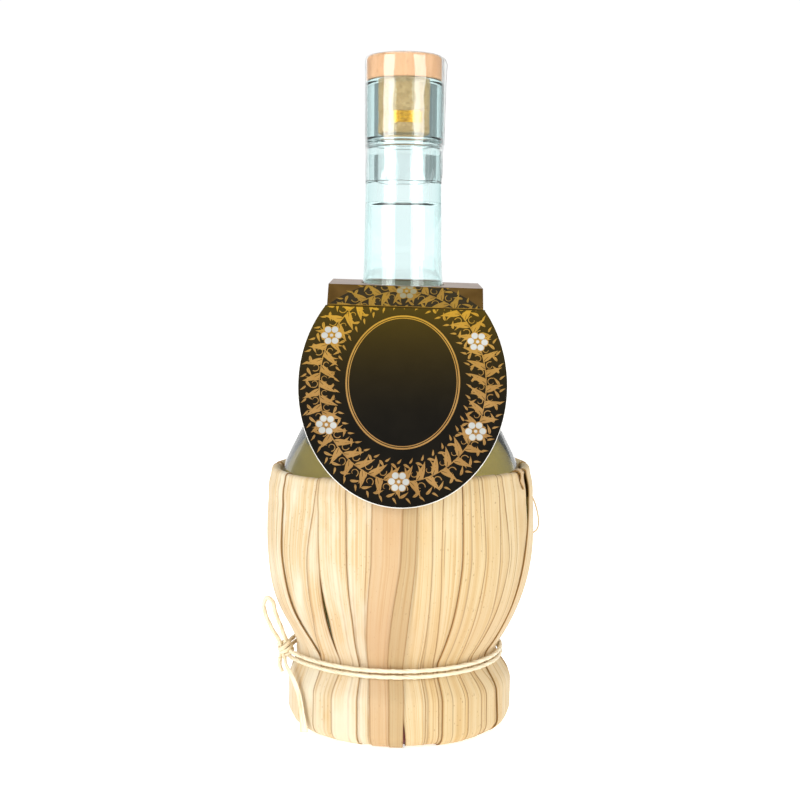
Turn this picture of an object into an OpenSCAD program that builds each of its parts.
// Round-bottomed wine flask in a husk-leaf jacket, with a bar-top stopper, a hang tag and twine.
// Millimetres. The origin is the centre of the standing face, +Z is up and the front faces -Y.

/* [Flask] */
// Radius of the belly at its widest
belly_r = 46.4; // [44:0.2:49]
// Height of the widest point of the belly above the standing face
belly_z = 70; // [68:0.5:74]
// Depth of the round bottom below the widest point
bottom_depth = 59.4; // [57:0.2:61]
// Radius of the arc that turns the belly into the shoulder
shoulder_r = 66.5; // [62:0.5:72]
// Slope of the shoulder, measured from the vertical in degrees
flank = 26.8; // [25:0.2:29]
// Thickness of the blown wall
glass_wall = 2.5; // [2:0.1:3.2]

/* [Neck and mouth] */
// Radius of the neck where it leaves the shoulder
neck_r = 13.9; // [13.7:0.1:15]
// Radius of the hollow curve between shoulder and neck
neck_blend_r = 70; // [50:1:80]
// Length from the end of that curve to the mouth
neck_len = 63; // [56:0.5:72]
// Radius of the neck just below the mouth band
neck_top_r = 13.3; // [13:0.1:13.6]
// Bore of the neck
bore_d = 18.5; // [17:0.1:19.5]
// Radius of the mouth band
finish_r = 13.75; // [13.7:0.05:15]
// Height of the mouth band with its two rings
finish_h = 23.5; // [18:0.5:28]
// Height of one ring under the mouth band
ring_h = 1.2; // [0.8:0.1:1.6]
// Rounding of the mouth's outer edge
lip_r = 1.2; // [0.6:0.1:1.6]

/* [Contents] */
// Height of the liquid above the end of the shoulder curve
fill_above_neck = 19; // [4:0.5:30]

/* [Stopper] */
// Diameter of the wooden head
head_d = 26.6; // [24:0.1:27.2]
// Height of the wooden head
head_h = 8.5; // [7:0.1:12]
// Rounding of the head's upper edge
head_edge_r = 1.4; // [0.6:0.1:2]
// Length of the shank below the head
shank_len = 19; // [14:0.5:24]
// Diameter of the tenon that holds the shank in the head
tenon_d = 13; // [8:0.5:15]
// Length of that tenon
tenon_len = 3.5; // [2:0.5:4.5]
// Width of the foil patch on the shank
foil_w = 9; // [5:0.5:12]
// Height of the foil patch
foil_h = 4; // [3:0.5:7]
// Distance from the shank's top to the foil patch
foil_drop = 11.4; // [2:0.1:12]
// Thickness of the foil patch
foil_t = 0.12; // [0.08:0.02:0.2]
// Turn of the foil patch from the front, in degrees
foil_turn = 8.5; // [0:0.5:15]

/* [Shrink capsule] */
// Length of the clear capsule
capsule_len = 44.5; // [36:0.5:50]
// Thickness of its film
film_t = 0.2; // [0.15:0.05:0.4]
// Radius of the round opening in its top
capsule_hole_r = 9.5; // [6:0.5:11]
// Rounding of its upper edge
capsule_edge_r = 1.6; // [1:0.1:2]

/* [Husk jacket] */
// Number of leaves around the flask, half of them in each layer
leaf_count = 20; // [16:2:20]
// Width of a leaf of the outer layer
outer_leaf_w = 16; // [14:0.5:17]
// Width of a leaf of the inner layer
inner_leaf_w = 19; // [17.5:0.25:19]
// Thickness of one leaf
leaf_t = 0.5; // [0.3:0.05:0.55]
// Turn of the first leaf from the front, in degrees
leaf_turn = -3; // [-9:1:9]
// Room between glass and jacket at the belly
jacket_ease = 0.85; // [0.6:0.05:1.5]
// Place of the rim on the shoulder arc, in degrees above the belly
rim_angle = 20.3; // [19:0.1:22]
// Length of leaf tucked inside the rim, in degrees of the shoulder arc
tuck_angle = 8; // [4:0.5:9]
// Diameter of the cord inside the rolled rim
rim_cord_d = 2.5; // [2:0.1:3]
// Height of the waist that the twine draws in
waist_z = 26.5; // [25.5:0.5:28]
// Distance from the waist up to where the leaves reach the belly curve
waist_rise = 4.5; // [3:0.5:6]

/* [Foot] */
// Inner radius of the jacket at the foot
foot_r = 39.3; // [37:0.1:41]
// Height at which the foot reaches that radius
foot_z = 15.5; // [13:0.5:17]
// Rounding of the jacket's lower edge
foot_edge_r = 4.5; // [3:0.5:6]
// Outer radius of the standing ring
stand_r = 32; // [29:0.5:33]
// Width of the standing ring
stand_w = 4; // [3:0.5:6]
// Wall of the moulded foot cup
cup_t = 2; // [1.4:0.1:2.4]
// Height of the foot cup
cup_h = 23.5; // [20:0.5:24]
// Number of ribs that carry the round bottom
rib_count = 12; // [8:1:18]
// Thickness of one rib
rib_t = 1.6; // [1.2:0.1:2]
// Distance from the centre to the ribs
rib_start_r = 9; // [7:0.5:14]

/* [Twine] */
// Diameter of the raffia twine
twine_d = 1.4; // [1:0.1:1.5]
// Turns of twine round the waist
twine_turns = 2; // [1:1:2]
// Height from one turn to the next
twine_pitch = 2.1; // [2.05:0.05:2.5]
// How far the winding sits off centre, towards the knot
twine_slack = 1.9; // [0:0.1:2]
// Direction of the knot, in degrees from +X
knot_turn = 190; // [186:1:194]

/* [Hang tag] */
// Thickness of the card
card_t = 0.5; // [0.3:0.05:0.6]
// Width of the folded band that goes round the neck
band_w = 53.6; // [50:0.2:58]
// Width of the oval panels
oval_w = 70.6; // [62:0.1:76]
// Height of the whole oval
oval_h = 87; // [80:0.5:92]
// Length of a panel below its crease
panel_len = 71.1; // [64:0.1:72]
// Distance from the neck's axis to the upper creases
fold_y = 16.8; // [16.4:0.1:20]
// How far out the sloping strips between the creases reach
strip_out = 5.9; // [4:0.1:8]
// How far down those strips reach
strip_down = 7; // [5:0.1:9]
// Distance from the end of the neck curve down to the card
tag_drop = 8.5; // [6:0.1:10]
// Tilt of the card, back edge up, in degrees
tag_tilt = 3; // [0:0.5:4]
// Roll of the whole tag, right side down, in degrees
tag_roll = 1.4; // [0:0.1:2]
// How far the card's middle lies to the right of its hole
punch_off = 1.1; // [0:0.1:1.5]

/* [Fits] */
// Running clearance of the shank in the bore and the capsule on the mouth, per side
running_fit = 0.05; // [0.02:0.01:0.1]
// Gap between flat faces that rest on each other
rest_gap = 0.1; // [0.05:0.05:0.2]
// Gap between curved faces that lie together
lie_gap = 0.05; // [0.02:0.01:0.1]
// Gap between the flask and what holds it, and between the foot cup and the jacket
glass_gap = 0.15; // [0.1:0.05:0.3]
// Clearance of the hang tag from what it leans on
tag_gap = 0.35; // [0.25:0.05:0.5]
// Half of the gap left at a crease
crease_gap = 0.3; // [0.25:0.05:0.4]
// Height of the jacket above the standing face
hem_gap = 0.25; // [0.2:0.05:0.5]

/* [Hidden] */
$fn = 96;
BODY_NODES = ["glass_bottle", "spirit_fill", "foot_cup", "rim_cord"];
LEAF_NODES = [for (i = [1:leaf_count]) str("husk_leaf_", i < 10 ? "0" : "", i)];
TWINE_NODES = ["waist_twine", "twine_knot", "bow_loop", "long_tail", "short_tail"];
TOP_NODES = ["stopper_head", "stopper_shank", "shank_foil", "shrink_capsule"];
TAG_NODES = ["tag_plate", "tag_front_panel", "tag_back_panel"];

// Colours
GLASS = [0.80, 0.86, 0.80, 0.45];
SPIRIT = [0.86, 0.84, 0.66, 0.5];
FOOT_RED = [0.45, 0.08, 0.08];
HUSK = ["#dcc9a2", "#cdb78d"];
TWINE = "#d8c79d";
WOOD = "#d9b88a";
SHANK = "#a98258";
GOLD = "#b9933f";
FILM = [0.93, 0.94, 0.93, 0.3];
CARD = "#1d1a16";

// Points on an arc round c, from angle a to angle b, leaving out the first skip points
function arc(c, r, a, b, n, skip = 0) =
    [for (i = [skip:n]) c + r * [cos(a + (b - a) * i / n), sin(a + (b - a) * i / n)]];

// Points on the flask's round bottom and belly, from angle a to angle b of an oval
function belly_arc(r, depth, a, b, n, skip = 0) =
    [for (i = [skip:n]) [r * cos(a + (b - a) * i / n), belly_z + depth * sin(a + (b - a) * i / n)]];

function unit(v) = v / norm(v);
function reversed(v) = [for (i = [len(v) - 1:-1:0]) v[i]];

// A path moved sideways by d, to the left of its direction
function beside(path, d) = [
    for (i = [0:len(path) - 1])
        let (t = unit(path[min(i + 1, len(path) - 1)] - path[max(i - 1, 0)]))
        path[i] + d * [-t[1], t[0]]
];

// The closed outline between two sideways offsets of a path
function strip(path, from, to) = concat(beside(path, from), reversed(beside(path, to)));

// Height at which the shoulder, from belly radius r and arc radius rs, has blended into a neck
function neck_end(r, rs, rn, blend) =
    belly_z + rs * sin(flank) + (r - rs * (1 - cos(flank)) - rn) / tan(flank) + blend * tan(flank / 2);

// The flask's curve from the bottom centre to the end of the neck's blend
function flask_curve(r, depth, rs, rn, blend) = concat(
    belly_arc(r, depth, -90, 0, 24),
    arc([r - rs, belly_z], rs, 0, flank, 8, 1),
    arc([rn + blend, neck_end(r, rs, rn, blend)], blend, 180 + flank, 180, 10)
);

neck_z = neck_end(belly_r, shoulder_r, neck_r, neck_blend_r);
mouth_z = neck_z + neck_len;
finish_z = mouth_z - finish_h;
bore_r = bore_d / 2;
fill_z = neck_z + fill_above_neck;
// Glass radius within the hollow curve between shoulder and neck
function neck_curve_r(z) = neck_r + neck_blend_r - sqrt(pow(neck_blend_r, 2) - pow(neck_z - z, 2));

// The curve of the inner wall, drawn in by d
function inner_curve(d) = flask_curve(
    belly_r - glass_wall - d, bottom_depth - glass_wall - d, shoulder_r - glass_wall - d,
    bore_r - d, neck_blend_r + d
);

module glass_bottle() {
    ring_c = finish_r - ring_h / 2;
    outer = concat(
        flask_curve(belly_r, bottom_depth, shoulder_r, neck_r, neck_blend_r),
        [[neck_top_r, finish_z - 3]],
        arc([ring_c, finish_z + ring_h / 2], ring_h / 2, -90, 90, 6),
        arc([ring_c, finish_z + 1.9 * ring_h], ring_h / 2, -90, 90, 6),
        [[finish_r, finish_z + 2.8 * ring_h]],
        arc([finish_r - lip_r, mouth_z - lip_r], lip_r, 0, 90, 6)
    );
    inner = concat(inner_curve(0), [[bore_r, mouth_z - 0.6], [bore_r + 0.6, mouth_z]]);
    color(GLASS) rotate_extrude() polygon(concat(outer, reversed(inner)));
}

// Volume in millilitres inside the glass up to the liquid's surface, from a stack of truncated cones
fill_curve = concat(inner_curve(0), [[bore_r, fill_z]]);
function cone_slice(a, b) = PI / 3 * (b[1] - a[1]) * (a[0] * a[0] + a[0] * b[0] + b[0] * b[0]);
function added(v, i = 0) = i == len(v) ? 0 : v[i] + added(v, i + 1);
echo(fill_ml = added([for (i = [1:len(fill_curve) - 1]) cone_slice(fill_curve[i - 1], fill_curve[i])]) / 1000);

module spirit_fill() {
    meniscus = 0.8;
    r = bore_r - lie_gap;
    top = arc([r, fill_z + meniscus], meniscus, 270, 180, 4);
    color(SPIRIT) rotate_extrude() polygon(concat(
        inner_curve(lie_gap), [[r, fill_z + meniscus]], reversed(top), [[r - meniscus, fill_z], [0, fill_z]]
    ));
}

// The jacket: where its inner face runs, from the tucked end over the rim and down to the hem
leaf_lap = 2 * leaf_t + lie_gap;
shoulder_c = [belly_r - shoulder_r, belly_z];
tuck_r = shoulder_r + glass_gap + leaf_lap;
roll_r = rim_cord_d / 2 + lie_gap;
rim_c = shoulder_c + (tuck_r + roll_r) * [cos(rim_angle), sin(rim_angle)];
jacket_r = belly_r + jacket_ease;
// The arc of the jacket's wall is level at the belly and touches the rolled rim
rim_in = jacket_r - rim_c[0];
rim_up = rim_c[1] - belly_z;
wall_r = (rim_in * rim_in + rim_up * rim_up - roll_r * roll_r) / (2 * (rim_in - roll_r));
wall_angle = asin(rim_up / (wall_r - roll_r));
// From the belly curve the leaves turn in to the waist, without a kink
join_z = waist_z + waist_rise;
join_angle = asin((belly_z - join_z) / bottom_depth);
join_r = jacket_r * cos(join_angle);
join_slope = jacket_r / bottom_depth * tan(join_angle);
waist_r = join_r - join_slope * waist_rise / 2;
hem_z = hem_gap + leaf_lap;
hem_c = [foot_r - foot_edge_r, hem_z + foot_edge_r];
function waist_curve(z) = waist_r + join_slope * pow(z - waist_z, 2) / (2 * waist_rise);
function foot_curve(z) =
    waist_r + (foot_r - waist_r) * (1 - cos(180 * (waist_z - z) / (waist_z - foot_z))) / 2;

jacket_path = concat(
    arc(shoulder_c, tuck_r, rim_angle - tuck_angle, rim_angle, 3),
    arc(rim_c, roll_r, 180 + rim_angle, wall_angle, 12, 1),
    arc([jacket_r - wall_r, belly_z], wall_r, wall_angle, 0, 4, 1),
    belly_arc(jacket_r, bottom_depth, 0, -join_angle, 10, 1),
    [for (i = [1:3]) let (z = join_z - waist_rise * i / 3) [waist_curve(z), z]],
    [for (i = [1:6]) let (z = waist_z - (waist_z - foot_z) * i / 6) [foot_curve(z), z]],
    arc(hem_c, foot_edge_r, 0, -90, 6),
    [[stand_r + 0.3, hem_z]]
);

// One leaf: even numbers lie in the outer layer, odd ones in the inner layer
module husk_leaf(i) {
    layer = i % 2 == 0 ? leaf_t + lie_gap : 0;
    width = i % 2 == 0 ? outer_leaf_w : inner_leaf_w;
    reach = 360 / leaf_count * 2;
    color(HUSK[i % 2]) rotate(leaf_turn - 90 + 360 / leaf_count * i) intersection() {
        rotate(-reach / 2) rotate_extrude(angle = reach) polygon(strip(jacket_path, layer, layer + leaf_t));
        translate([stand_r / 2, -width / 2, 0]) cube([belly_r, width, 2 * belly_z]);
    }
}

module rim_cord() {
    color(TWINE) rotate_extrude() translate(rim_c) circle(d = rim_cord_d);
}

// The moulded cup inside the foot: its side, drawn in by d
function cup_side(d) = concat(
    [for (i = [0:6]) let (z = cup_h - (cup_h - foot_z) * i / 6) [foot_curve(z) - d, z]],
    arc(hem_c, foot_edge_r - d, 0, -90, 6)
);

floor_z = hem_z + glass_gap;

module cup_rib() {
    side = cup_side(glass_gap + cup_t / 2);
    carried = [for (i = [0:8]) let (r = rib_start_r + (belly_r * 0.64 - rib_start_r) * i / 8)
        [r, belly_z - bottom_depth * sqrt(1 - pow(r / belly_r, 2)) - glass_gap]];
    translate([0, rib_t / 2, 0]) rotate([90, 0, 0]) linear_extrude(rib_t) intersection() {
        polygon(concat(carried, [[belly_r, carried[8][1]], [belly_r, floor_z + cup_t / 2],
            [rib_start_r, floor_z + cup_t / 2]]));
        polygon(concat([[0, cup_h - cup_t]], [for (p = side) if (p[1] < cup_h - cup_t) p],
            [[0, hem_z]], [[0, 0]]));
    }
}

module foot_cup() {
    outer = cup_side(glass_gap);
    inner = cup_side(glass_gap + cup_t);
    color(FOOT_RED) {
        rotate_extrude() polygon(concat([[0, floor_z]], reversed(outer), inner, [[0, floor_z + cup_t]]));
        rotate_extrude() translate([stand_r - stand_w, 0]) square([stand_w, floor_z + cup_t / 2]);
        for (i = [0:rib_count - 1]) rotate(360 / rib_count * (i + 0.5)) cup_rib();
    }
}

// Twine: a tube swept along a path, with rings square to it
function ring(p, t, ref, r, n) =
    let (u = unit(cross(ref, t)), v = cross(t, u))
    [for (k = [0:n - 1]) p + r * (cos(360 * k / n) * u + sin(360 * k / n) * v)];

module tube(path, r, n, ref, closed = false) {
    m = len(path);
    function at(i) = closed ? path[(i + m) % m] : path[max(0, min(m - 1, i))];
    points = [for (i = [0:m - 1]) each ring(path[i], unit(at(i + 1) - at(i - 1)), ref, r, n)];
    sides = [for (i = [0:m - (closed ? 1 : 2)], k = [0:n - 1])
        let (a = i * n + k, b = i * n + (k + 1) % n, c = ((i + 1) % m) * n + k, d = ((i + 1) % m) * n + (k + 1) % n)
        each [[a, b, d], [a, d, c]]];
    ends = closed ? [] : [for (k = [1:n - 2]) each [[0, k + 1, k], [(m - 1) * n, (m - 1) * n + k, (m - 1) * n + k + 1]]];
    polyhedron(points, [for (f = concat(sides, ends)) reversed(f)], convexity = 6);
}

// A smooth path through hand-chosen points, with n steps between two of them
function through(p, n) = [
    for (i = [0:len(p) - 2], k = [0:n - 1])
        let (a = p[max(i - 1, 0)], b = p[i], c = p[i + 1], d = p[min(i + 2, len(p) - 1)], t = k / n)
        0.5 * (2 * b + t * (c - a) + t * t * (2 * a - 5 * b + 4 * c - d) + t * t * t * (3 * b - a - 3 * c + d)),
    p[len(p) - 1]
];

// The least gap between stretches of a tube that lie at least apart steps from each other on its path;
// on a closed path, ends_apart keeps its first and last points from counting as two stretches
function turn_gap(path, apart, r, ends_apart = 0) = min([
    for (i = [0:len(path) - 1 - apart], j = [i + apart:min(len(path) - 1, i + len(path) - ends_apart)])
        norm(path[i] - path[j])
]) - 2 * r;

twine_r = twine_d / 2;
steps_per_turn = 24;
// Flat stretches between rings reach inwards, so the winding is that much larger
winding_rise = twine_pitch * twine_turns / 2;
wound_r = max(foot_curve(waist_z - winding_rise), waist_curve(waist_z + winding_rise)) + leaf_lap;
chord_dip = wound_r * (1 - cos(180 / steps_per_turn));
winding_r = wound_r + lie_gap + twine_r + chord_dip + twine_slack;
end_turn = 180 / steps_per_turn;
function winding_point(a, z) =
    twine_slack * [cos(knot_turn), sin(knot_turn), 0] + [winding_r * cos(a), winding_r * sin(a), z];
winding_steps = steps_per_turn * twine_turns - 1;
winding_path = [
    for (i = [0:winding_steps])
        let (part = i / winding_steps)
        winding_point(knot_turn + end_turn + (360 * twine_turns - 2 * end_turn) * part,
            waist_z + winding_rise * (2 * part - 1))
];
winding_start = winding_path[0] + twine_d * unit(winding_path[0] - winding_path[1]);
winding_end = winding_path[winding_steps] + twine_d * unit(winding_path[winding_steps] - winding_path[winding_steps - 1]);
winding = concat([winding_start], winding_path, [winding_end]);
if (twine_turns > 1) echo(winding_gap = turn_gap(winding, steps_per_turn / 2, twine_r));

module waist_twine() {
    color(TWINE) tube(winding, twine_r, 6, [0, 0, 1]);
}

// The knot: a threefold crossing of drawn-tight strands, flat against the winding
knot_strand_r = twine_r * 0.72;
knot_room = 0.8;
knot_size = (2 * knot_strand_r + knot_room) / sqrt(3);
knot_deep = knot_strand_r + 0.9 * knot_room;
knot_depth = knot_deep + knot_strand_r;
knot_path = [for (i = [0:71]) let (a = 5 * i) [
    knot_size * (sin(a) + 2 * sin(2 * a)), knot_size * (cos(a) - 2 * cos(2 * a)), -knot_deep * sin(3 * a)
]];
knot_r = winding_r + twine_slack + twine_r + rest_gap + knot_depth;
knot_c = [knot_r * cos(knot_turn), knot_r * sin(knot_turn), waist_z + 0.5];
echo(knot_gap = turn_gap(knot_path, 14, knot_strand_r, 14));

module twine_knot() {
    color(TWINE) translate(knot_c) rotate([0, 90, knot_turn]) {
        tube(knot_path, knot_strand_r, 6, [0, 0, 1], closed = true);
    }
}

// Free ends of the twine, as routes from the middle of the knot
loop_route = [[-1.2, -1.2, 3.3], [-4, -1.5, 8], [-6, -2, 13], [-6.5, -3, 17], [-5, -4.5, 19.5], [-3, -5.5, 18],
    [-2, -5.5, 14], [-0.5, -3, 9], [1.2, -0.6, 3.3]];
tail_route = [[1, -2.2, -3.2], [1.8, -6, -5], [4, -11, -7.5], [6.5, -15, -12], [8, -17.5, -19], [8.5, -19, -25]];
short_route = [[-0.8, -0.9, -3.3], [-1, -0.5, -6], [0, -1, -8.5]];

module bow_loop() {
    color(TWINE) translate(knot_c) tube(through(loop_route, 4), twine_r, 8, [0, 1, 0]);
}

module long_tail() {
    color(TWINE) translate(knot_c) tube(through(tail_route, 3), twine_r, 8, [1, 0, 0]);
}

module short_tail() {
    color(TWINE) translate(knot_c) tube(through(short_route, 3), twine_r, 8, [1, 0, 0]);
}

// The stopper
head_z = mouth_z + rest_gap;
head_top = head_z + head_h;
shank_r = bore_r - running_fit;

module stopper_head() {
    r = head_d / 2;
    color(WOOD) difference() {
        rotate_extrude() polygon(concat(
            [[0, head_z], [r - 0.5, head_z], [r, head_z + 0.5]],
            arc([r - head_edge_r, head_top - head_edge_r], head_edge_r, 0, 90, 6),
            [[0, head_top]]
        ));
        translate([0, 0, head_z - 1]) cylinder(d = tenon_d + 2 * running_fit, h = tenon_len + rest_gap + 1);
    }
}

// The foil's place on the front of the shank, reaching d further than the foil on every side
module foil_zone(d) {
    intersection() {
        translate([0, 0, head_z - foil_drop - foil_h - d]) difference() {
            cylinder(r = shank_r, h = foil_h + 2 * d);
            translate([0, 0, -1]) cylinder(r = shank_r - foil_t - d, h = foil_h + 2 * d + 2);
        }
        rotate(foil_turn) translate([-foil_w / 2 - d, -2 * shank_r, 0])
            cube([foil_w + 2 * d, 2 * shank_r, 2 * head_top]);
    }
}

module stopper_shank() {
    edge = 0.8;
    color(SHANK) difference() {
        rotate_extrude() polygon([
            [0, head_z - shank_len], [shank_r - edge, head_z - shank_len], [shank_r, head_z - shank_len + edge],
            [shank_r, head_z], [tenon_d / 2, head_z], [tenon_d / 2, head_z + tenon_len], [0, head_z + tenon_len]
        ]);
        foil_zone(0.02);
    }
}

module shank_foil() {
    color(GOLD) foil_zone(0);
}

module shrink_capsule() {
    r = finish_r + running_fit + film_t;
    top = head_top + rest_gap + film_t;
    path = concat(
        [[r, top - capsule_len]],
        arc([r - capsule_edge_r, top - capsule_edge_r], capsule_edge_r, 0, 90, 6),
        [[capsule_hole_r, top]]
    );
    color(FILM) rotate_extrude() polygon(strip(path, 0, film_t));
}

// The hang tag, in its own frame: folded from one card, with a crease on each side
tag_z = neck_z - tag_drop;
fold_rise = fold_y * tan(tag_tilt);
strip_end = [fold_y + strip_out, -strip_down];
hole_r = neck_curve_r(tag_z - fold_rise - card_t) + tag_gap;

// Where a crease lies, for the front (-1) or the back (1)
function crease(side) = [side * strip_end[0], side * fold_rise + strip_end[1]];

// Lean of a panel from the vertical, so that it rests against the rolled rim
function panel_lean(side) =
    let (down = tag_z + crease(side)[1] - rim_c[1], out = rim_c[0] - strip_end[0])
    atan(out / down) + asin((roll_r + leaf_lap + tag_gap + card_t / 2) / norm([out, down]));

module tag_frame() {
    color(CARD) translate([0, 0, tag_z]) rotate([0, tag_roll, 0]) translate([punch_off, 0, 0]) children();
}

module tag_plate() {
    front = [-fold_y, -fold_rise];
    back = [fold_y, fold_rise];
    front_end = crease(-1) + crease_gap * unit(front - crease(-1));
    back_end = crease(1) + crease_gap * unit(back - crease(1));
    difference() {
        tag_frame() rotate([90, 0, 90]) translate([0, 0, -band_w / 2]) linear_extrude(band_w)
            polygon(strip([front_end, front, back, back_end], -card_t / 2, card_t / 2));
        translate([0, 0, tag_z - 5]) cylinder(r = hole_r, h = 10);
    }
}

module tag_panel(side) {
    centre = panel_len - oval_h / 2;
    cut_angle = asin((centre - crease_gap) / (oval_h / 2));
    outline = [for (i = [0:40]) let (a = cut_angle - (180 + 2 * cut_angle) * i / 40)
        [oval_w / 2 * cos(a), -centre + oval_h / 2 * sin(a)]];
    tag_frame() translate([0, crease(side)[0], crease(side)[1]]) rotate([90 + side * panel_lean(side), 0, 0])
        translate([0, 0, -card_t / 2]) linear_extrude(card_t) polygon(outline);
}

glass_bottle();
spirit_fill();
foot_cup();
rim_cord();
for (i = [0:leaf_count - 1])
    husk_leaf(i);
waist_twine();
twine_knot();
bow_loop();
long_tail();
short_tail();
stopper_head();
stopper_shank();
shank_foil();
shrink_capsule();
tag_plate();
tag_panel(-1);  // tag_front_panel
tag_panel(1);  // tag_back_panel
